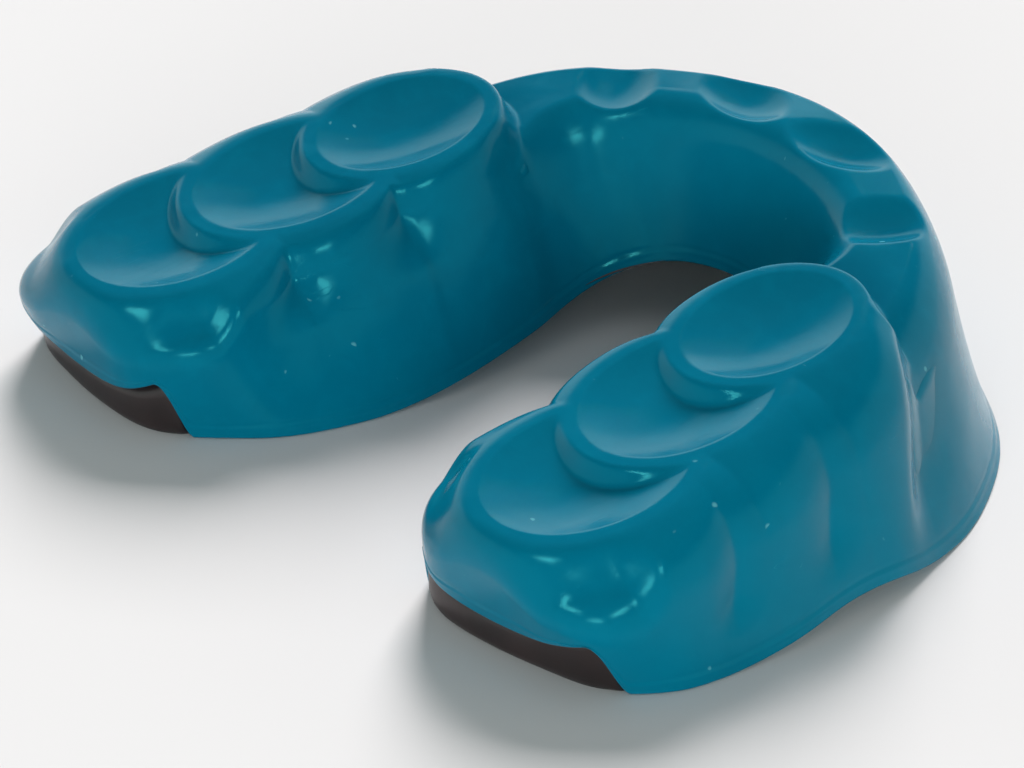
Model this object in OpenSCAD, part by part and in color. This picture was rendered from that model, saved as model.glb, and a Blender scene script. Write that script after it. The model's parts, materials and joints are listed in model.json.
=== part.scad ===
// Mouthguard for boxing and martial arts, lying with its bite face up.
// Origin at the middle of the footprint on the resting plane, +Z up,
// +Y toward the front teeth, +X to the wearer's side. Mirror-symmetric about X = 0.

/* [Overall] */
// overall width across the molar flanges
guard_w = 66; // [58:0.5:74]
// overall length from arm ends to front wall
guard_l = 51.4; // [45:0.2:58]
// overall height at the front crest
guard_h = 15.9; // [12:0.1:24]

/* [Bite face] */
// depth of a molar dish below its rim
dish_depth = 1.2; // [0.8:0.1:2]
// flat band round a dish
ring_w = 0.9; // [0.5:0.1:1.5]
// width of the wall that drops from one pad into the next dish
step_w = 0.9; // [0.5:0.1:2]
// depth of a front thumbnail dimple
dimple_depth = 0.95; // [0.4:0.05:1.4]
// depth of the grooves between pads on the cheek side
groove_depth = 0.6; // [0:0.1:1.4]
// depth of the creases between pads on the tongue side
crease_depth = 1.3; // [0:0.1:1.6]

/* [Bite shell] */
// thickness of the coloured shell's walls
shell_t = 1.8; // [1.2:0.1:2.6]
// thickness of the coloured shell under the bite face
shell_top = 3.2; // [2.6:0.1:4.4]
// wall thickness at the front teeth, as a share of that at the molars
front_thin = 0.7; // [0.5:0.05:1]
// height of the arch that shows the liner at the middle of each arm end
end_arch = 2.5; // [1.5:0.1:3.5]

/* [Liner] */
// thickness of the black liner's walls
liner_t = 2.0; // [1.2:0.1:2.4]
// thickness of the black liner under the shell
liner_top = 1.6; // [1.0:0.1:2.4]
// how far the liner stands back from the shell at the arm ends
recess = 0.25; // [0.1:0.05:0.6]

/* [Mesh] */
// rows along half of the arch
rows = 38; // [20:1:50]
// columns across the bite face
ends = 14; // [8:2:20]

/* [Hidden] */
teal = [0.0, 0.42, 0.52];
black = [0.06, 0.055, 0.055];

// Design outlines of the right half at the reference size. Each list runs from the middle of
// the arm's end to the midline of the front teeth.
ref = [66, 51.4, 15.9];
k = [guard_w / ref[0], guard_l / ref[1], guard_h / ref[2]];
mid = 1.1; // footprint middle, ahead of the outline zero

// lower edge on the tongue side
foot_in = [[21.5, -23.4], [17, -23.6], [14.2, -22.8], [12.4, -21.2], [10.2, -18.6], [8.3, -15.4], [7, -10],
           [6.5, -4], [6.5, 0.6], [6.8, 4.6], [7, 7.8], [6.5, 10.8], [4.6, 13.2], [2.4, 14], [0, 14.2]];
// lower edge on the cheek and lip side
foot_out = [[21.5, -23.4], [25.6, -22.7], [28.8, -21.8], [31, -19.9], [32.5, -17.3], [33, -13.9],
            [33.1, -8], [32.6, -3.2], [32.2, 1.2], [31, 5], [29, 9.9], [25.6, 15.2], [20, 20.9],
            [10.6, 25.8], [0, 27.3]];
// top of the wall on the tongue side
rim_in = [[21.6, -24.5], [17.4, -24.5], [14.6, -23.5], [12.4, -21.6], [11.2, -18.8], [11.6, -15],
          [11.4, -9.8], [11.3, -4.4], [11.3, 0.6], [11.6, 4.6], [12.2, 8.6], [11.8, 12], [9.2, 14.5],
          [5, 16.2], [0, 16.8]];
// top of the wall on the cheek and lip side
rim_out = [[21.6, -24.5], [25.8, -24.2], [29.4, -23], [31.4, -20.6], [32, -17], [31.9, -13.4],
           [31.3, -8.6], [30.4, -3.2], [29.2, 2.2], [27, 7.4], [24.1, 12], [20.3, 16.2], [15.2, 20],
           [7.9, 23.3], [0, 24.4]];
// height of the front crest
crest = [7, 7, 7, 7.5, 8, 9, 10, 11, 12, 12.2, 13.2, 14.3, 15, 15.6, 15.9];
// rounding between wall and bite face: how far in, how far down
run_in = [1.3, 1.3, 1.3, 1.4, 1.4, 1.4, 1.4, 1.2, 1.2, 1.6, 2.4, 2.8, 2.8, 2.8, 2.8];
drop_in = [2, 1.8, 1.6, 1.4, 1.4, 1.4, 1.4, 1.4, 1.5, 1.9, 2.6, 2.8, 2.6, 2.4, 2.4];
run_out = [1.3, 1.6, 2.2, 2.8, 3.4, 3.6, 3.9, 4, 4, 3.9, 3.6, 3.2, 2.8, 2.4, 2.2];
drop_out = [2, 2, 2.2, 2.6, 3, 3.2, 3.3, 3.4, 3.5, 4, 4.4, 4.4, 4.4, 4.4, 4.4];
// lower edge of the shell away from the arm's end: palate arch inside, cheek and lip notches outside
edge_in = [0, 0, 0, 0, 0, 0, 0, 0.6, 1.4, 2.1, 2.8, 3.6, 4.5, 5, 5.2];
edge_out = [0, 0, 0, 0, 0, 0, 0.5, 1.1, 1, 0.3, 0, 0, 0, 0.4, 1.2];
// how straight each wall runs from foot to rim
bend_in = [1, 1, 1, 1.1, 1.15, 1.15, 1.15, 1.15, 1.15, 1.15, 1.15, 1.15, 1.15, 1.15, 1.15];
bend_out = [1, 1, 1, 0.9, 0.9, 0.9, 0.9, 0.9, 0.9, 0.9, 0.8, 0.75, 0.75, 0.8, 0.85];
last = len(foot_in) - 1;
corner = 2.5; // place where the bite face's end meets its sides
slope = 0.42; // fall of the shoulder outside the bands
full = 0.9;   // fullness of the rounded edges

// Dishes, front to back: centre, half length, half width, turn
dishes = [[18.8, 1.1, 5.9, 5.1, -6], [20, -7.3, 6.8, 5.9, -8], [21.3, -15.8, 7, 6.25, -1]];
// Front dimples: centre, half width along the arch, half width across it, turn, crest height there
dimples = [[5.2, 19.5, 4.2, 2.5, -14, 15.6], [13, 14.6, 4.6, 2.6, -45, 14.6]];

function clamp(v, lo, hi) = min(hi, max(lo, v));
function smooth(v) = let (c = clamp(v, 0, 1)) c * c * (3 - 2 * c);
function mix(a, b, u) = a + (b - a) * u;

// A list per side joined into one run: midline, tongue side, arm end, cheek side, midline.
// A place c counts from the arm end: minus on the tongue side, plus on the cheek side.
function joined(inner, outer) = concat([for (i = [last:-1:0]) inner[i]], [for (i = [1:last]) outer[i]]);
function fold(v) = is_list(v) ? [-v[0], v[1]] : v;
function at(v, i) = i < 0 ? fold(v[-i]) : i > 2 * last ? fold(v[4 * last - i]) : v[i];
function catmull(a, b, c, d, u) =
    0.5 * (2 * b + (c - a) * u + (2 * a - 5 * b + 4 * c - d) * u * u + (3 * b - a - 3 * c + d) * u * u * u);
function on(v, c) =
    let (s = clamp(c + last, 0, 2 * last), i = min(floor(s), 2 * last - 1))
    catmull(at(v, i - 1), at(v, i), at(v, i + 1), at(v, i + 2), s - i);

foot = joined(foot_in, foot_out);
rim = joined(rim_in, rim_out);
run = joined(run_in, run_out);
drop = joined(drop_in, drop_out);
bend = joined(bend_in, bend_out);
edge = joined(edge_in, edge_out);
peak = joined(crest, crest);

// inward direction of the rim at a place
function inward(c) =
    let (d = on(rim, min(last, c + 0.02)) - on(rim, max(-last, c - 0.02)))
    [-d[1], d[0]] / norm(d);

// how far a plan point is from an ellipse's middle: 1 on the rim
function reach(p, e) =
    let (x = p[0] - e[0], y = p[1] - e[1], c = cos(e[4]), s = sin(e[4]))
    norm([(x * s + y * c) / e[2], (x * c - y * s) / e[3]]);
// distance outside an ellipse's rim
function away(p, e) = let (r = reach(p, e)) (r - 1) * norm([p[0] - e[0], p[1] - e[1]]) / max(r, 0.000001);
// a pad hides the dish behind it
function shown(p, n) = n < 0 ? 1 : smooth((away(p, dishes[n]) - ring_w) / step_w) * shown(p, n - 1);
// how far the dishes go down
function hollows(p) =
    let (d = [for (n = [0:2]) (1 - pow(min(1, reach(p, dishes[n])), 2)) * shown(p, n - 1)])
    dish_depth * (d[0] + d[1] + d[2]);
// the lower of two heights, with their meeting line rounded over
function lower(a, b) =
    let (blend = 0.25, h = clamp(0.5 + 0.5 * (b - a) / blend, 0, 1)) mix(b, a, h) - blend * h * (1 - h);
// floor of a front dimple at a plan point; it rises without end outside the dimple
function scoop(p, e) = e[5] + dimple_depth * (pow(reach(p, [e[0], e[1], e[3], e[2], e[4]]), 2) - 1);
// height z with the dishes sunk and the front dimples scooped out
function carve(z, p) = lower(lower(z - hollows(p), scoop(p, dimples[0])), scoop(p, dimples[1]));

// height of the bite face before its edges are rounded: sloping pads, end lobe, front crest
function face(p, t) =
    let (x = p[0], y = p[1],
         gap = min([for (e = dishes) away(p, e)]) - ring_w,
         pad = 14 + 0.212 * (y - 1) - slope * (sqrt(gap * gap + 0.16) + gap) / 2,
         lobe = 1.3 * smooth((away(p, dishes[2]) - 1.1) / 2.2) * smooth((-17.5 - y) / 2.5),
         line = 7 - 0.6 * max(x - 24, 0) - 0.35 * max(24 - x, 0),
         wide = 1.8 + 3 * smooth((18 - x) / 5),
         front = smooth((away(p, dishes[0]) - ring_w) / 1.7) * smooth((y - line) / wide))
    mix(pad - lobe, on(peak, t), front);

function crease(t, where, width, power) = exp(-pow(abs(t - where) / width, power));
// inward shift of the wall at a place; u is 1 at the rim, 0 at the foot
function notch(c, u) =
    let (t = abs(c)) c > 0
    ? let (s = t - (8.95 + 0.2 * u), w = s < 0 ? s / 0.4 : s / 1.2)
        groove_depth * (crease(t, 5.05 + 0.3 * u, 0.34, 1.3) + crease(t, 6.7 + 0.35 * u, 0.34, 1.3))
        * smooth((u - 0.3) / 0.4) + 0.9 * exp(-w * w) * smooth((u - 0.1) / 0.6)
    : (crease_depth * (crease(t, 5.45, 0.3, 1.3) + crease(t, 7.1, 0.3, 1.3))
        + 0.4 * crease(t, 9.1, 0.5, 1.5)) * smooth((u - 0.7) / 0.35);

// height of the shell's lower edge: the arch over the bare liner, then the lists
function low_edge(c) =
    let (s = c > 0 ? c - 2.05 : -c - 2.1)
    (end_arch + 0.3 * c * c) * (1 - smooth(s / 0.9)) + max(0, on(edge, c)) * smooth((abs(c) - 3.5) / 0.5);
// wall thickness share at place t: full at the molars, thinner at the front
function thin(t) = mix(1, front_thin, smooth((t - 6) / 6));

// places round the right half, from midline to arm end and back to midline
places = concat([for (i = [0:rows]) -mix(last, corner, i / rows)],
                [for (i = [1:ends - 1]) mix(-corner, corner, i / ends)],
                [for (i = [0:rows]) mix(corner, last, i / rows)]);
loop_n = len(places);

// outside of the shell at a place: from the lower edge up the wall and over the rounding
function outer_column(c) =
    let (t = abs(c), f = on(foot, c), r = on(rim, c), n = inward(c), g = notch(c, 1), dr = on(drop, c),
         rn = on(run, c), b = on(bend, c), sh = r + n * g, zr = face(sh, t) - dr, e = low_edge(c),
         l0 = (r - f) * (b / zr * dr), lean = l0 * min(1, 0.8 * rn / max(0.000001, norm(l0))),
         ctl = sh + lean, inn = sh + n * rn)
    concat(
        [for (j = [0:7]) let (z = mix(e, zr, j / 7), u = z / zr, p = mix(f, r, pow(u, b)) + n * notch(c, u))
            [p[0], p[1], z]],
        [for (j = [1:6]) let (s = j / 6, q = [(1 - s) * (1 - s), 2 * full * s * (1 - s), s * s],
            w = q[0] + q[1] + q[2], p = (q[0] * sh + q[1] * ctl + q[2] * inn) / w)
            [p[0], p[1], carve(face(p, t) - dr * q[0] / w, p)]]);

// inside face at a depth under the outer one, plain, without dishes or creases
function inner_column(c, wall_t, top_t, gap) =
    let (t = abs(c), n = inward(c), d = wall_t * thin(t),
         f = on(foot, c) + n * d, r = on(rim, c) + n * (d + 0.4),
         tall = face(on(rim, c) + n * 3, t), under = face(r + n * 1.6, t) - top_t, zr = under - 1.3,
         e = low_edge(c) + gap, base = mix(f, r, zr / tall))
    concat(
        [for (j = [0:3]) let (z = mix(e, zr, j / 3), p = mix(f, r, z / tall)) [p[0], p[1], z]],
        [for (j = [1:3]) let (a = j * 30, p = base + n * (1.6 * (1 - cos(a))))
            [p[0], p[1], under - 1.3 * (1 - sin(a))]]);

// height of the liner's lower edge
function liner_low(c) = low_edge(c) * smooth((abs(c) - 3.3) / 0.4) + 0.3 * smooth(abs(c) - 6);
// outside of the liner: its bare foot at the arm's end, then just inside the shell
gap = 0.04;
function liner_column(c) =
    let (t = abs(c), bare = 1 - smooth((t - 2.6) / 0.8), n = inward(c),
         col = inner_column(c, shell_t + gap, shell_top + gap, 0),
         d = recess * bare + (shell_t + gap) * thin(t) * (1 - bare),
         lo = liner_low(c), hi = max(lo + gap, low_edge(c) - gap),
         p = on(foot, c) + n * d)
    concat([[p[0], p[1], lo], [p[0], p[1], hi], [col[0][0], col[0][1], hi + gap]],
           [for (j = [1:len(col) - 1]) col[j]]);

// inner part of a skin: grid rows from the arm's end to the midline, inside a ring of points
function fill(ring) =
    [for (r = [1:rows]) let (a = ring[rows - r], b = ring[rows + ends + r], t = mix(corner, last, r / rows),
        fade = 1 - smooth((t - corner) / 2.6))
        [for (j = [1:ends - 1])
            let (w = j / ends, e = ring[rows + j] - mix(ring[rows], ring[rows + ends], w))
            mix(a, b, w) + e * fade]];
function top_of(p, t) = [p[0], p[1], carve(face(p, t), p)];
function over(grid) =
    [for (r = [1:rows]) [for (p = grid[r - 1]) top_of([p[0], p[1]], mix(corner, last, r / rows))]];

// Each skin's points: the wall columns round both arms, then the inner grid of both arms.
function place_pt(p, s) = [s * p[0] * k[0], (p[1] - mid) * k[1], p[2] * k[2]];
function skin_points(cols, grid) =
    concat([for (c = cols) for (p = c) place_pt(p, 1)],
           [for (i = [1:loop_n - 2]) for (p = cols[i]) place_pt(p, -1)],
           [for (r = [1:rows]) for (p = grid[r - 1]) place_pt(p, 1)],
           [for (r = [1:rows - 1]) for (p = grid[r - 1]) place_pt(p, -1)]);
function skin_count(m) = (2 * loop_n - 2) * m + (2 * rows - 1) * (ends - 1);
// index of a wall point, and of a grid point, for the right (s = 1) or left (s = -1) arm
function wi(s, i, j, m) = s > 0 || i == 0 || i == loop_n - 1 ? i * m + j : (loop_n + i - 1) * m + j;
function gi(s, r, j, m) =
    j == 0 ? wi(s, rows - r, m - 1, m) : j == ends ? wi(s, rows + ends + r, m - 1, m)
    : r == 0 ? wi(s, rows + j, m - 1, m)
    : (2 * loop_n - 2) * m + (s < 0 && r < rows ? rows * (ends - 1) : 0) + (r - 1) * (ends - 1) + j - 1;
function quad(a, b, c, d, turn) = turn ? [[a, c, b], [a, d, c]] : [[a, b, c], [a, c, d]];
function skin_faces(m, out) =
    concat(
        [for (s = [1, -1]) for (i = [0:loop_n - 2]) for (j = [0:m - 2])
            each quad(wi(s, i, j, m), wi(s, i, j + 1, m), wi(s, i + 1, j + 1, m), wi(s, i + 1, j, m),
                      (s > 0) != out)],
        [for (s = [1, -1]) for (r = [0:rows - 1]) for (j = [0:ends - 1])
            each quad(gi(s, r, j, m), gi(s, r + 1, j, m), gi(s, r + 1, j + 1, m), gi(s, r, j + 1, m),
                      (s > 0) != out)]);
function shifted(faces, n) = [for (f = faces) [for (v = f) v + n]];

// closed solid between an outer and an inner skin, joined along their feet
module solid(oc, og, ic, ig) {
    m = len(oc[0]);
    q = len(ic[0]);
    n = skin_count(m);
    polyhedron(
        points = concat(skin_points(oc, og), skin_points(ic, ig)),
        faces = concat(
            skin_faces(m, true), shifted(skin_faces(q, false), n),
            [for (s = [1, -1]) for (i = [0:loop_n - 2])
                each quad(wi(s, i, 0, m), wi(s, i + 1, 0, m), n + wi(s, i + 1, 0, q), n + wi(s, i, 0, q),
                          s < 0)]));
}

function rings(cols) = [for (c = cols) c[len(c) - 1]];

// coloured bite shell: dished pads, front dimples, flared walls
module bite_shell() {
    outer = [for (c = places) outer_column(c)];
    inner = [for (c = places) inner_column(c, shell_t, shell_top, 0)];
    color(teal) solid(outer, over(fill(rings(outer))), inner, fill(rings(inner)));
}

// black inner liner: the tooth channel, showing at both arm ends
module inner_liner() {
    outer = [for (c = places) liner_column(c)];
    inner = [for (c = places) let (col = inner_column(c, shell_t + liner_t, shell_top + liner_top, 0),
        lo = liner_low(c)) concat([[col[0][0], col[0][1], lo]], [for (j = [1:6]) col[j]])];
    color(black) solid(outer, fill(rings(outer)), inner, fill(rings(inner)));
}

bite_shell();
inner_liner();
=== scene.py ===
"""Looks for the mouthguard: gel bite shell over a black inner liner, on a pale studio floor.

All lengths in the shape section are millimetres in the part's own frame (+Z up, +Y toward the
front teeth, mirror-symmetric about X = 0). Meshes are written in metres.
"""
import json
import math

import bmesh
import bpy
import numpy as np
from mathutils import Matrix

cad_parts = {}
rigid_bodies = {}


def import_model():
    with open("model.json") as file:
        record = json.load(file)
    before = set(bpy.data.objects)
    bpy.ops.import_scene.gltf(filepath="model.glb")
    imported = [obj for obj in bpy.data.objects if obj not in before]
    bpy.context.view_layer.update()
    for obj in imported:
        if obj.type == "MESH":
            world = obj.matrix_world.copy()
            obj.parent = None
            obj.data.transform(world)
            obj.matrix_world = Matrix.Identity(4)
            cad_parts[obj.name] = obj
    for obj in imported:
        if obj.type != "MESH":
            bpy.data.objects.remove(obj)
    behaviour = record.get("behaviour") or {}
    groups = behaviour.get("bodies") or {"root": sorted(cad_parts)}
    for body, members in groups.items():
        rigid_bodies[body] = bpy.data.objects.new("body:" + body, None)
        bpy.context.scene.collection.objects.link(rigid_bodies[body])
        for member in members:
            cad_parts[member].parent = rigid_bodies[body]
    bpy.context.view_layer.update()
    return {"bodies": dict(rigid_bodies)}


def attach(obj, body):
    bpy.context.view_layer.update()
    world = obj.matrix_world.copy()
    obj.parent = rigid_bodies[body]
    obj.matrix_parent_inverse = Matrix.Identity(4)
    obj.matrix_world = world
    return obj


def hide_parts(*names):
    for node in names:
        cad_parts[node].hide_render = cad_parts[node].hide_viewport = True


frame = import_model()
BODY = sorted(frame["bodies"])[0]

# ---------------------------------------------------------------- shape: outlines of the right half
# Each list runs from the middle of the arm's end to the midline of the front teeth.
MID = 1.1          # footprint middle, ahead of the outlines' zero
LAST = 14          # place number of the midline
CORNER = 2.5       # place where the bite face's end meets its sides

# The foot is the lower edge of the walls and the rim is their top, each on the tongue side (IN)
# and on the cheek and lip side (OUT).
FOOT_IN = [(21.5, -23.4), (17, -23.6), (14.2, -22.8), (12.4, -21.2), (10.2, -18.6), (8.3, -15.4),
           (7, -10), (6.5, -4), (6.5, 0.6), (6.8, 4.6), (7, 7.8), (6.5, 10.8), (4.6, 13.2),
           (2.4, 14), (0, 14.2)]
FOOT_OUT = [(21.5, -23.4), (25.6, -22.7), (28.8, -21.8), (31, -19.9), (32.5, -17.3), (33, -13.9),
            (33.1, -8), (32.6, -3.2), (32.2, 1.2), (31, 5), (29, 9.9), (25.6, 15.2), (20, 20.9),
            (10.6, 25.8), (0, 27.3)]
RIM_IN = [(21.6, -24.5), (17.4, -24.5), (14.6, -23.5), (12.4, -21.6), (11.2, -18.8), (11.6, -15),
          (11.4, -9.8), (11.3, -4.4), (11.3, 0.6), (11.6, 4.6), (12.2, 8.6), (11.8, 12), (9.2, 14.5),
          (5, 16.2), (0, 16.8)]
RIM_OUT = [(21.6, -24.5), (25.8, -24.2), (29.4, -23), (31.4, -20.6), (32, -17), (31.9, -13.4),
           (31.3, -8.6), (30.4, -3.2), (29.2, 2.2), (27, 7.4), (24.1, 12), (20.3, 16.2), (15.2, 20),
           (7.9, 23.3), (0, 24.4)]
# height of the front crest
CREST = [7, 7, 7, 7.5, 8, 9, 10, 11, 12, 12.2, 13.2, 14.3, 15, 15.6, 15.9]
# rounding between wall and bite face: how far in, how far down
RUN_IN = [1.3, 1.3, 1.3, 1.4, 1.4, 1.4, 1.4, 1.2, 1.2, 1.6, 2.4, 2.8, 2.8, 2.8, 2.8]
DROP_IN = [2, 1.8, 1.6, 1.4, 1.4, 1.4, 1.4, 1.4, 1.5, 1.9, 2.6, 2.8, 2.6, 2.4, 2.4]
RUN_OUT = [1.3, 1.6, 2.2, 2.8, 3.4, 3.6, 3.9, 4, 4, 3.9, 3.6, 3.2, 2.8, 2.4, 2.2]
DROP_OUT = [2, 2, 2.2, 2.6, 3, 3.2, 3.3, 3.4, 3.5, 4, 4.4, 4.4, 4.4, 4.4, 4.4]
# lower edge of the shell away from the arm's end: palate arch inside, cheek and lip notches outside
EDGE_IN = [0, 0, 0, 0, 0, 0, 0, 0.6, 1.4, 2.1, 2.8, 3.6, 4.5, 5, 5.2]
EDGE_OUT = [0, 0, 0, 0, 0, 0, 0.5, 1.1, 1, 0.3, 0, 0, 0, 0.4, 1.2]
# how straight each wall runs from foot to rim
BEND_IN = [1, 1, 1, 1.1, 1.15, 1.15, 1.15, 1.15, 1.15, 1.15, 1.15, 1.15, 1.15, 1.15, 1.15]
BEND_OUT = [1, 1, 1, 0.9, 0.9, 0.9, 0.9, 0.9, 0.9, 0.9, 0.8, 0.75, 0.75, 0.8, 0.85]

# molar dishes, front to back: centre x, y, half length, half width, turn
DISHES = [(18.8, 1.1, 5.9, 5.1, -6), (20, -7.3, 6.8, 5.9, -8), (21.3, -15.8, 7, 6.25, -1)]
# front dimples: centre x, y, half width along the arch, half width across it, turn, crest height there
DIMPLES = [(5.2, 19.5, 4.2, 2.5, -14, 15.6), (13, 14.6, 4.6, 2.6, -45, 14.6)]
DISH_DEPTH = 1.2
DIMPLE_DEPTH = 0.95
GROOVE_DEPTH = 0.6
CREASE_DEPTH = 1.3
END_ARCH = 2.5     # height of the arch that shows the liner at the middle of each arm end
RING = 0.9         # flat band round a dish
STEP = 0.9         # wall from that band down into the next dish
SLOPE = 0.42       # fall of the shoulder outside the bands
LOBE = 1.3         # drop from the last pad to the lobe behind it
FULL = 0.9         # fullness of the rounded edges
SHELL_T = 1.8      # teal walls
SHELL_TOP = 3.2    # teal under the bite face
LINER_T = 2.0      # black walls
LINER_TOP = 1.6    # black under the teal
FRONT_THIN = 0.7   # wall thickness at the front teeth, as a share of that at the molars
RECESS = 0.25      # the bare liner's set-back from the shell at the arm ends
GAP = 0.04         # between shell and liner
EDGE_R = 0.2       # rounding of the shell's lower edge
BEAD = 0.03        # height of the fine moulding bead above that edge
FOOT_ROWS = 2      # faces across the foot of a wall


def smooth(v):
    """Smooth step from 0 to 1."""
    v = np.clip(v, 0, 1)
    return v * v * (3 - 2 * v)


def around(inner, outer, odd=False):
    """A list per side, joined into one closed run: midline, inner side, arm end, outer side, mirror."""
    half = np.concatenate([np.asarray(inner, float)[::-1], np.asarray(outer, float)[1:]])
    back = half[-2:0:-1]
    return np.concatenate([half, -back if odd else back])


def spline(values, c):
    """Smooth closed curve through the values; c counts from the arm end, minus on the tongue side."""
    n = len(values)
    a = 4 * np.eye(n) + np.roll(np.eye(n), 1, 0) + np.roll(np.eye(n), -1, 0)
    m = np.linalg.solve(a, 6 * (np.roll(values, -1) - 2 * values + np.roll(values, 1)))
    s = np.mod(np.asarray(c, float) + LAST, n)
    i = np.floor(s).astype(int) % n
    j = (i + 1) % n
    u = s - np.floor(s)
    bend = ((1 - u) ** 3 - (1 - u)) * m[i] / 6 + (u ** 3 - u) * m[j] / 6
    return (1 - u) * values[i] + u * values[j] + bend


def outline(inner, outer, c):
    """Plan points of an outline at places c."""
    a, b = np.asarray(inner, float), np.asarray(outer, float)
    x = spline(around(a[:, 0], b[:, 0], True), c)
    y = spline(around(a[:, 1], b[:, 1]), c)
    return np.stack([x, y], -1)


def level(inner, outer, c):
    """A height or width at places c, from a list per side."""
    return spline(around(inner, outer), c)


def reach(p, e):
    """1 on an ellipse's rim, less inside."""
    c, s = math.cos(math.radians(e[4])), math.sin(math.radians(e[4]))
    x, y = p[..., 0] - e[0], p[..., 1] - e[1]
    return np.hypot((x * s + y * c) / e[2], (x * c - y * s) / e[3])


def away(p, e):
    """Distance outside an ellipse's rim."""
    r = reach(p, e)
    return (r - 1) * np.hypot(p[..., 0] - e[0], p[..., 1] - e[1]) / np.maximum(r, 1e-6)


def lower(a, b, blend=0.25):
    """The lower of two heights, with their meeting line rounded over."""
    h = np.clip(0.5 + 0.5 * (b - a) / blend, 0, 1)
    return b + (a - b) * h - blend * h * (1 - h)


def hollows(p):
    """How far the dishes go down; a pad hides the dish behind it."""
    total = np.zeros(p.shape[:-1])
    show = np.ones(p.shape[:-1])
    for e in DISHES:
        total = total + DISH_DEPTH * (1 - np.minimum(reach(p, e), 1) ** 2) * show
        show = show * smooth((away(p, e) - RING) / STEP)
    return total


def carve(z, p):
    """Height z at plan point p with the dishes sunk and the front dimples scooped out."""
    z = z - hollows(p)
    for x, y, along, across, turn, top in DIMPLES:
        z = lower(z, top + DIMPLE_DEPTH * (reach(p, (x, y, across, along, turn)) ** 2 - 1))
    return z


def face(p, t):
    """Height of the bite face before its edges are rounded: sloping pads, end lobe, front crest."""
    x, y = p[..., 0], p[..., 1]
    z = 14 + 0.212 * (y - 1)
    gap = np.minimum(np.minimum(away(p, DISHES[0]), away(p, DISHES[1])), away(p, DISHES[2])) - RING
    z = z - SLOPE * (np.sqrt(gap ** 2 + 0.16) + gap) / 2
    z = z - LOBE * smooth((away(p, DISHES[2]) - 1.1) / 2.2) * smooth((-17.5 - y) / 2.5)
    line = 7 - 0.6 * np.maximum(x - 24, 0) - 0.35 * np.maximum(24 - x, 0)
    wide = 1.8 + 3 * smooth((18 - x) / 5)
    front = smooth((away(p, DISHES[0]) - RING) / 1.7) * smooth((y - line) / wide)
    return z * (1 - front) + level(CREST, CREST, t) * front


def crease(t, at, width, power):
    """A bump of height 1 round place at."""
    return np.exp(-(np.abs(t - at) / width) ** power)


def notch_in(t, u):
    """Creases between the pads on the tongue side; u is 1 at the rim, 0 at the foot."""
    total = CREASE_DEPTH * (crease(t, 5.45, 0.3, 1.3) + crease(t, 7.1, 0.3, 1.3))
    return (total + 0.4 * crease(t, 9.1, 0.5, 1.5)) * smooth((u - 0.7) / 0.35)


def notch_out(t, u):
    """Grooves between the pads on the cheek side and the hollow ahead of the first pad."""
    pair = crease(t, 5.05 + 0.3 * u, 0.34, 1.3) + crease(t, 6.7 + 0.35 * u, 0.34, 1.3)
    total = GROOVE_DEPTH * pair * smooth((u - 0.3) / 0.4)
    s = t - (8.95 + 0.2 * u)
    s = np.where(s < 0, s / 0.4, s / 1.2)
    return total + 0.9 * np.exp(-s ** 2) * smooth((u - 0.1) / 0.6)


def edges(c):
    """Height of the shell's lower edge all round: the arch over the bare liner, then the lists."""
    s = np.where(c > 0, c - 2.05, -c - 2.1)
    arch = (END_ARCH + 0.3 * c ** 2) * (1 - smooth(s / 0.9))
    sides = np.maximum(level(EDGE_IN, EDGE_OUT, c), 0) * smooth((np.abs(c) - 3.5) / 0.5)
    return np.maximum(arch, 0) + sides


def thin(t):
    """Wall thickness share: full at the molars, thinner at the front teeth."""
    return 1 + (FRONT_THIN - 1) * smooth((t - 6) / 6)


class Skin:
    """Places round the right half of the arch, with foot, rim and inward direction at each."""

    def __init__(self, rows, ends):
        self.t = np.linspace(CORNER, LAST, rows + 1)
        middle = np.linspace(-CORNER, CORNER, ends + 1)
        self.rows, self.ends = rows, ends
        self.c = np.concatenate([-self.t[::-1], middle[1:-1], self.t])
        self.place = np.abs(self.c)
        self.foot = outline(FOOT_IN, FOOT_OUT, self.c)
        self.rim = outline(RIM_IN, RIM_OUT, self.c)
        d = outline(RIM_IN, RIM_OUT, self.c + 0.02) - outline(RIM_IN, RIM_OUT, self.c - 0.02)
        n = np.stack([-d[:, 1], d[:, 0]], -1)
        self.inward = n / np.linalg.norm(n, axis=-1, keepdims=True)
        self.edge = edges(self.c)

    def notch(self, u):
        """Inward shift of the wall; u is 1 at the rim, 0 at the foot."""
        return np.where(self.c > 0, notch_out(self.place, u), notch_in(self.place, u))

    def patch(self, ring, height):
        """Grid over the bite face inside a ring of plan points, from the arm's end to the midline."""
        n, m = self.rows, self.ends
        inner, end, outer = ring[:n + 1][::-1], ring[n:n + m + 1], ring[n + m:]
        w = np.linspace(0, 1, m + 1)
        p = inner[:, None] + (outer - inner)[:, None] * w[None, :, None]
        bow = end - (end[0] + (end[-1] - end[0]) * w[:, None])
        p = p + bow[None] * (1 - smooth((self.t - CORNER) / 2.6))[:, None, None]
        t = np.broadcast_to(self.t[:, None], p.shape[:2])
        return np.concatenate([p, height(p, t)[..., None]], -1)


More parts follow.
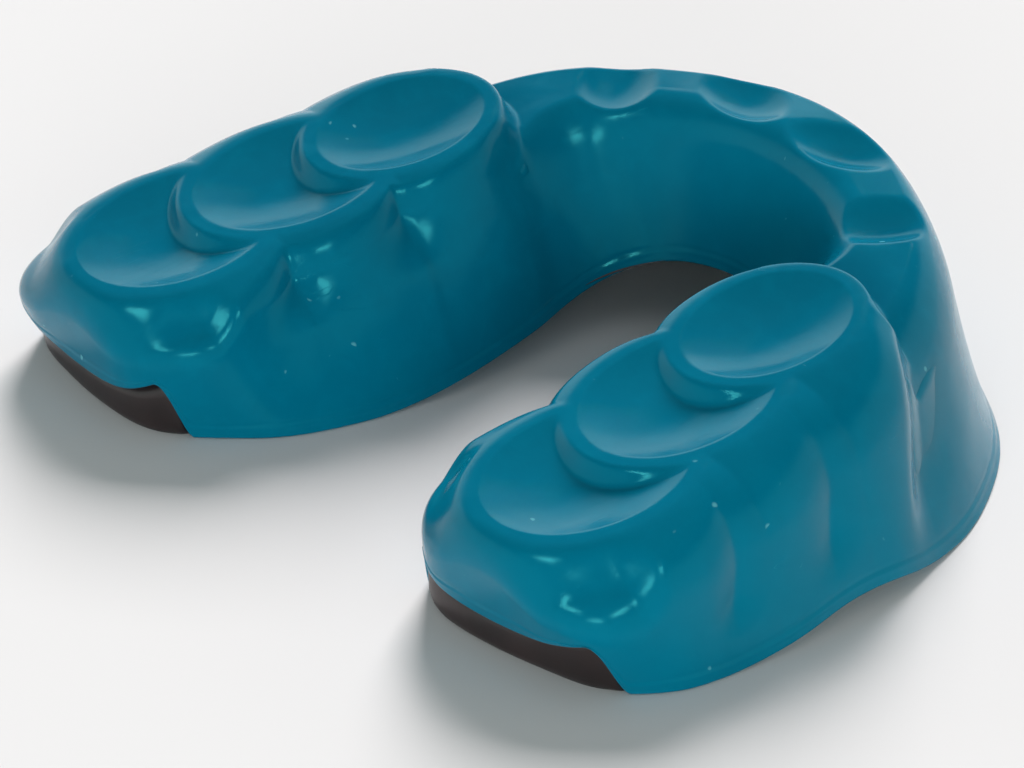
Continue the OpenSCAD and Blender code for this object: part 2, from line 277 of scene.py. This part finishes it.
def outer_skin(k):
    """Outside of the shell: wall rows from the lower edge up and over the rounding, then the face."""
    run, drop = level(RUN_IN, RUN_OUT, k.c), level(DROP_IN, DROP_OUT, k.c)
    bend = level(BEND_IN, BEND_OUT, k.c)
    top = k.notch(np.ones_like(k.place))
    shoulder = k.rim + k.inward * top[:, None]
    rim_z = face(shoulder, k.place) - drop
    tall = rim_z - k.edge
    band = np.minimum(1.7, 0.6 * tall)
    low = [(k.edge + s * np.minimum(1, tall), s) for s in (0, 0.03, 0.07, 0.13, 0.2)]
    low += [(k.edge + 0.2 + (band - 0.2) * f, 0.2 + 1.5 * f) for f in np.linspace(0, 1, 16)[1:]]
    high = [(k.edge + band + (tall - band) * f, 9) for f in np.linspace(0, 1, 30)[1:]]
    cols = []
    for z, s in low + high:
        u = z / rim_z
        p = k.foot + (k.rim - k.foot) * (u ** bend)[:, None]
        # rounded lower edge, and the fine moulding bead just above it with a groove over it
        tuck = EDGE_R - math.sqrt(max(0.0, EDGE_R ** 2 - max(0.0, EDGE_R - s) ** 2))
        bead = BEAD * (math.exp(-((s - 0.7) / 0.14) ** 2) - math.exp(-((s - 1.0) / 0.12) ** 2))
        p = p + k.inward * (k.notch(u) + tuck - bead)[:, None]
        cols.append(np.column_stack([p, z]))
    # rounding: a conic from the wall's own slope at the shoulder to the face
    lean = (k.rim - k.foot) * (bend / rim_z * drop)[:, None]
    lean = lean * np.minimum(1, 0.8 * run / np.maximum(1e-6, np.linalg.norm(lean, axis=-1)))[:, None]
    corner, inner = shoulder + lean, shoulder + k.inward * run[:, None]
    for s in np.linspace(0, 1, 17)[1:]:
        a, b, c = (1 - s) ** 2, 2 * FULL * s * (1 - s), s * s
        p = (a * shoulder + b * corner + c * inner) / (a + b + c)
        z = carve(face(p, k.place) - drop * a / (a + b + c), p)
        cols.append(np.column_stack([p, z]))
    wall = np.stack(cols, 1)
    patch = k.patch(wall[:, -1, :2], lambda p, t: carve(face(p, t), p))
    return wall, patch


def trough(k, wall_t, top_t):
    """Inside face at a depth under the outer one, plain, without dishes or creases."""
    depth = (wall_t * thin(k.place))[:, None]
    foot, rim = k.foot + k.inward * depth, k.rim + k.inward * (depth + 0.4)
    full = face(k.rim + k.inward * 3, k.place)
    under = face(rim + k.inward * 1.6, k.place) - top_t
    rim_z = under - 1.3
    cols = []
    for f in np.linspace(0, 1, 10):
        z = k.edge + (rim_z - k.edge) * f
        cols.append(np.column_stack([foot + (rim - foot) * (z / full)[:, None], z]))
    base = cols[-1][:, :2]
    for a in np.linspace(0, math.pi / 2, 7)[1:]:
        p = base + k.inward * (1.6 * (1 - math.cos(a)))
        z = under - 1.3 * (1 - math.sin(a))
        cols.append(np.column_stack([p, z]))
    wall = np.stack(cols, 1)
    end_z = wall[:, -1, 2]
    n, m = k.rows, k.ends

    def height(p, t):
        w = np.linspace(0, 1, m + 1)[None]
        a, b = end_z[:n + 1][::-1][:, None], end_z[n + m:][:, None]
        z = a + (b - a) * w
        bow = end_z[n:n + m + 1] - (end_z[n] + (end_z[n + m] - end_z[n]) * w[0])
        return z + bow[None] * (1 - smooth((k.t - CORNER) / 2.6))[:, None]

    return wall, k.patch(wall[:, -1, :2], height)


def liner_skin(k):
    """Outside of the liner: its bare foot at the arm's end, then just inside the shell."""
    bare = 1 - smooth((k.place - 2.6) / 0.8)
    inside, patch = trough(k, SHELL_T + GAP, SHELL_TOP + GAP)
    depth = RECESS * bare + (SHELL_T + GAP) * thin(k.place) * (1 - bare)
    low = liner_low(k)
    high = np.maximum(low + GAP, k.edge - GAP)
    cols = []
    for s in (0, 0.06, 0.14, 0.26, 0.5, 0.75, 1):
        z = low + (high - low) * s
        # the bare foot swells slightly and rounds in at the floor
        swell = bare * (0.3 * (1 - min(1, s / 0.26)) ** 2 - 0.16 * math.sin(math.pi * s))
        cols.append(np.column_stack([k.foot + k.inward * (depth + swell)[:, None], z]))
    cols.append(np.column_stack([inside[:, 0, :2], high]))
    wall = np.concatenate([np.stack(cols, 1), inside[:, 1:]], 1)
    return wall, patch


def liner_low(k):
    """Height of the liner's lower edge: down to the floor where it shows, else level with the shell's."""
    shown = smooth((k.place - 3.3) / 0.4)
    return k.edge * shown + 0.3 * smooth(k.place - 6)


# ---------------------------------------------------------------- meshes
def faces_of(sheet, start, flip):
    """Quads over a grid of points whose first point has the number start."""
    r, n = sheet.shape[0], sheet.shape[1]
    a = start + (np.arange(r - 1)[:, None] * n + np.arange(n - 1)[None]).reshape(-1)
    quad = np.stack([a, a + n, a + n + 1, a + 1], -1)
    return quad[:, ::-1] if flip else quad


def make_mesh(name, outside, inside):
    """Closed solid from an outer and an inner skin (each a wall and a patch), mirrored to both arms."""
    points, quads, count = [], [], 0
    foot_a, foot_b = outside[0][:, 0], inside[0][:, 0]
    strip = np.stack([foot_a + (foot_b - foot_a) * s for s in np.linspace(0, 1, FOOT_ROWS + 1)], 1)
    for sheet, turn in ((outside[0], False), (outside[1], True), (inside[0], True), (inside[1], False),
                        (strip, True)):
        for side in (1, -1):
            s = sheet.copy()
            s[..., 0] *= side
            flip = turn if side == 1 else not turn
            points.append(s.reshape(-1, 3))
            quads.append(faces_of(s, count, flip))
            count += len(points[-1])
    p = np.concatenate(points)
    p[:, 1] -= MID
    p *= 0.001
    mesh = bpy.data.meshes.new(name)
    mesh.from_pydata(p.tolist(), [], np.concatenate(quads).tolist())
    ob = bpy.data.objects.new(name, mesh)
    bpy.context.scene.collection.objects.link(ob)
    bm = bmesh.new()
    bm.from_mesh(mesh)
    bmesh.ops.remove_doubles(bm, verts=bm.verts, dist=2e-6)
    bmesh.ops.dissolve_degenerate(bm, edges=bm.edges, dist=1e-6)
    bmesh.ops.recalc_face_normals(bm, faces=bm.faces)
    bm.to_mesh(mesh)
    bm.free()
    for f in mesh.polygons:
        f.use_smooth = True
    return ob


fine = Skin(340, 88)
coarse = Skin(150, 30)
shell = make_mesh("gel_shell", outer_skin(fine), trough(fine, SHELL_T, SHELL_TOP))
channel = trough(coarse, SHELL_T + LINER_T, SHELL_TOP + LINER_TOP)
liner = make_mesh("black_liner", liner_skin(coarse), channel)
for piece, node in ((shell, "bite_shell"), (liner, "inner_liner")):
    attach(piece, BODY)
    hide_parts(node)


# ---------------------------------------------------------------- materials
class Nodes:
    """Short way to build a node tree."""

    def __init__(self, tree):
        self.tree = tree
        tree.nodes.clear()

    def add(self, kind, **values):
        n = self.tree.nodes.new(kind)
        for key, value in values.items():
            setattr(n, key, value)
        return n

    def link(self, a, b):
        self.tree.links.new(a, b)

    def noise(self, coords, scale, detail=2.0, rough=0.5, distortion=0.0):
        n = self.add("ShaderNodeTexNoise")
        n.inputs["Scale"].default_value = scale
        n.inputs["Detail"].default_value = detail
        n.inputs["Roughness"].default_value = rough
        n.inputs["Distortion"].default_value = distortion
        self.link(coords, n.inputs["Vector"])
        return n.outputs["Fac"]

    def ramp(self, fac, low, high, a=0.0, b=1.0):
        n = self.add("ShaderNodeMapRange")
        n.inputs["From Min"].default_value = low
        n.inputs["From Max"].default_value = high
        n.inputs["To Min"].default_value = a
        n.inputs["To Max"].default_value = b
        self.link(fac, n.inputs["Value"])
        return n.outputs["Result"]

    def math(self, op, a, b):
        n = self.add("ShaderNodeMath", operation=op)
        for socket, value in zip(n.inputs, (a, b)):
            if isinstance(value, (int, float)):
                socket.default_value = value
            else:
                self.link(value, socket)
        return n.outputs[0]

    def mix(self, fac, a, b):
        n = self.add("ShaderNodeMix", data_type="RGBA")
        if isinstance(fac, (int, float)):
            n.inputs[0].default_value = fac
        else:
            self.link(fac, n.inputs[0])
        for socket, value in ((n.inputs[6], a), (n.inputs[7], b)):
            if isinstance(value, tuple):
                socket.default_value = value + (1.0,)
            else:
                self.link(value, socket)
        return n.outputs[2]

    def bump(self, height, strength, distance, before=None):
        n = self.add("ShaderNodeBump")
        n.inputs["Strength"].default_value = strength
        n.inputs["Distance"].default_value = distance
        self.link(height, n.inputs["Height"])
        if before:
            self.link(before, n.inputs["Normal"])
        return n.outputs["Normal"]


def new_material(name):
    mat = bpy.data.materials.new(name)
    mat.use_nodes = True
    return mat, Nodes(mat.node_tree)


def gel_material():
    """Glossy moulded gel: deep teal, faint flow marks, fine dust specks and hairline scratches."""
    mat, k = new_material("teal_gel")
    coords = k.add("ShaderNodeTexCoord").outputs["Object"]
    cloud = k.noise(coords, 45, 3, 0.55)
    grain = k.noise(coords, 2600, 2, 0.6)
    mottle = k.noise(coords, 420, 4, 0.6, 0.4)
    colour = k.mix(k.ramp(cloud, 0.35, 0.65), (0.0, 0.128, 0.212), (0.0, 0.155, 0.25))
    colour = k.mix(k.ramp(mottle, 0.45, 0.75, 0.0, 0.35), colour, (0.0, 0.175, 0.275))
    # dust specks: the rare bright cells of a fine cell pattern
    cells = k.add("ShaderNodeTexVoronoi", feature="F1")
    cells.inputs["Scale"].default_value = 520
    k.link(coords, cells.inputs["Vector"])
    rare = k.ramp(k.noise(coords, 900, 1, 0.5), 0.6, 0.64)
    speck = k.math("MULTIPLY", k.ramp(cells.outputs["Distance"], 0.14, 0.07), rare)
    colour = k.mix(k.math("MULTIPLY", speck, 0.7), colour, (0.12, 0.42, 0.48))
    # hairline scratches: thin level lines of stretched noise, in patches
    stretch = k.add("ShaderNodeMapping")
    stretch.inputs["Scale"].default_value = (1.0, 0.12, 1.0)
    stretch.inputs["Rotation"].default_value = (0.0, 0.0, 0.6)
    k.link(coords, stretch.inputs["Vector"])
    field = k.noise(stretch.outputs["Vector"], 900, 1, 0.4)
    line = k.ramp(k.math("ABSOLUTE", k.math("SUBTRACT", field, 0.5), 0.0), 0.006, 0.0)
    patchy = k.ramp(k.noise(coords, 160, 2, 0.5), 0.58, 0.7)
    scratch = k.math("MULTIPLY", line, patchy)
    rough = k.ramp(mottle, 0.3, 0.75, 0.13, 0.22)
    rough = k.math("ADD", rough, k.math("MULTIPLY", scratch, 0.15))
    rough = k.math("ADD", rough, k.math("MULTIPLY", speck, 0.2))
    normal = k.bump(k.noise(coords, 150, 2, 0.5), 0.35, 0.0004)
    normal = k.bump(mottle, 0.3, 0.00006, normal)
    normal = k.bump(grain, 0.25, 0.00001, normal)
    normal = k.bump(scratch, 0.3, 0.00002, normal)
    b = k.add("ShaderNodeBsdfPrincipled")
    k.link(colour, b.inputs["Base Color"])
    k.link(rough, b.inputs["Roughness"])
    k.link(normal, b.inputs["Normal"])
    b.inputs["IOR"].default_value = 1.22
    b.inputs["Specular IOR Level"].default_value = 1.0
    b.inputs["Subsurface Weight"].default_value = 0.12
    b.inputs["Subsurface Radius"].default_value = (0.2, 0.8, 1.0)
    b.inputs["Subsurface Scale"].default_value = 0.0012
    b.inputs["Specular Tint"].default_value = (0.12, 1.0, 0.95, 1)
    out = k.add("ShaderNodeOutputMaterial")
    k.link(b.outputs["BSDF"], out.inputs["Surface"])
    return mat


def liner_material():
    """Satin black rubber with a faint brown cast and a fine moulded grain."""
    mat, k = new_material("black_gel")
    coords = k.add("ShaderNodeTexCoord").outputs["Object"]
    cloud = k.noise(coords, 160, 3, 0.55)
    grain = k.noise(coords, 1800, 3, 0.6)
    colour = k.mix(k.ramp(cloud, 0.35, 0.7), (0.014, 0.0085, 0.0085), (0.028, 0.016, 0.016))
    b = k.add("ShaderNodeBsdfPrincipled")
    k.link(colour, b.inputs["Base Color"])
    k.link(k.ramp(cloud, 0.3, 0.7, 0.32, 0.46), b.inputs["Roughness"])
    normal = k.bump(cloud, 0.4, 0.0002)
    k.link(k.bump(grain, 0.35, 0.00002, normal), b.inputs["Normal"])
    b.inputs["IOR"].default_value = 1.5
    out = k.add("ShaderNodeOutputMaterial")
    k.link(b.outputs["BSDF"], out.inputs["Surface"])
    return mat


shell.data.materials.append(gel_material())
liner.data.materials.append(liner_material())


# ---------------------------------------------------------------- studio
def make_floor():
    """Pale paper floor, a hair below the guard's foot and clear when seen from underneath."""
    mesh = bpy.data.meshes.new("studio_floor")
    r, z = 6.0, -0.00003
    mesh.from_pydata([(-r, -r, z), (r, -r, z), (r, r, z), (-r, r, z)], [], [(0, 1, 2, 3)])
    ob = bpy.data.objects.new("studio_floor", mesh)
    bpy.context.scene.collection.objects.link(ob)
    mat, k = new_material("floor_paper")
    b = k.add("ShaderNodeBsdfPrincipled")
    b.inputs["Base Color"].default_value = (0.74, 0.74, 0.74, 1)
    b.inputs["Roughness"].default_value = 0.9
    b.inputs["Specular IOR Level"].default_value = 0.1
    side = k.add("ShaderNodeNewGeometry").outputs["Backfacing"]
    clear = k.add("ShaderNodeBsdfTransparent").outputs["BSDF"]
    both = k.add("ShaderNodeMixShader")
    k.link(side, both.inputs["Fac"])
    k.link(b.outputs["BSDF"], both.inputs[1])
    k.link(clear, both.inputs[2])
    out = k.add("ShaderNodeOutputMaterial")
    k.link(both.outputs["Shader"], out.inputs["Surface"])
    mesh.materials.append(mat)
    return ob


def look_at(ob, place, target):
    ob.location = place
    d = [t - p for t, p in zip(target, place)]
    flat = math.hypot(d[0], d[1])
    ob.rotation_euler = (math.pi / 2 + math.atan2(d[2], flat), 0, math.atan2(-d[0], d[1]))


def softbox(name, azimuth, height, distance, width, depth, watts, colour=(1, 1, 1)):
    """Area light aimed at the guard; azimuth 0 is behind the viewer's -Y side, height in degrees."""
    light = bpy.data.lights.new(name, "AREA")
    light.shape = "RECTANGLE"
    light.size, light.size_y = width, depth
    light.energy = watts
    light.color = colour
    ob = bpy.data.objects.new(name, light)
    bpy.context.scene.collection.objects.link(ob)
    a, e = math.radians(azimuth), math.radians(height)
    flat = distance * math.cos(e)
    look_at(ob, (flat * math.sin(a), -flat * math.cos(a), distance * math.sin(e)), (0, 0, 0.006))
    return ob


def make_world():
    world = bpy.data.worlds.new("studio")
    bpy.context.scene.world = world
    world.use_nodes = True
    k = Nodes(world.node_tree)
    coords = k.add("ShaderNodeTexCoord").outputs["Generated"]
    split = k.add("ShaderNodeSeparateXYZ")
    k.link(coords, split.inputs["Vector"])
    band = k.ramp(split.outputs["Z"], 0.4, 0.58)
    band.node.interpolation_type = "SMOOTHSTEP"
    dome = k.mix(band, (0.7, 0.86, 0.84), (0.05, 0.05, 0.05))
    cap = k.ramp(split.outputs["Z"], 0.6, 1.0)
    cap.node.interpolation_type = "SMOOTHSTEP"
    dome = k.mix(cap, dome, (0.3, 0.3, 0.3))
    back = k.add("ShaderNodeBackground")
    k.link(dome, back.inputs["Color"])
    back.inputs["Strength"].default_value = 1.0
    out = k.add("ShaderNodeOutputWorld")
    k.link(back.outputs["Background"], out.inputs["Surface"])


make_floor()
make_world()
key = softbox("key_box", 222, 33, 6.0, 2.0, 3.0, 560, (1.06, 1, 1))
key.visible_glossy = False
fill = softbox("low_fill", 45, 11, 1.3, 0.9, 0.3, 8.5)
fill.visible_glossy = False
for number, (azimuth, height) in enumerate(((8, 42), (42, 32), (78, 40))):
    spark = softbox(f"spark_{number + 1}", azimuth, height, 1.3, 0.36, 0.14, 2.4)
    spark.visible_diffuse = False

# ---------------------------------------------------------------- camera
AZIMUTH, ELEVATION, ROLL = 50.747, 28.0, 0.285
camera = bpy.data.cameras.new("camera")
camera.sensor_width = 36
camera.lens = 231.48
camera.clip_start, camera.clip_end = 0.01, 30
eye = bpy.data.objects.new("camera", camera)
bpy.context.scene.collection.objects.link(eye)
eye.location = (0.295854, -0.246172 - MID * 0.001, 0.2068)
swing = Matrix.Rotation(math.radians(AZIMUTH), 4, "Z")
tilt = Matrix.Rotation(math.radians(90 - ELEVATION), 4, "X")
eye.rotation_euler = (swing @ tilt @ Matrix.Rotation(math.radians(ROLL), 4, "Z")).to_euler()
bpy.context.scene.camera = eye
bpy.context.scene.view_settings.view_transform = "Standard"
bpy.context.scene.view_settings.look = "None"
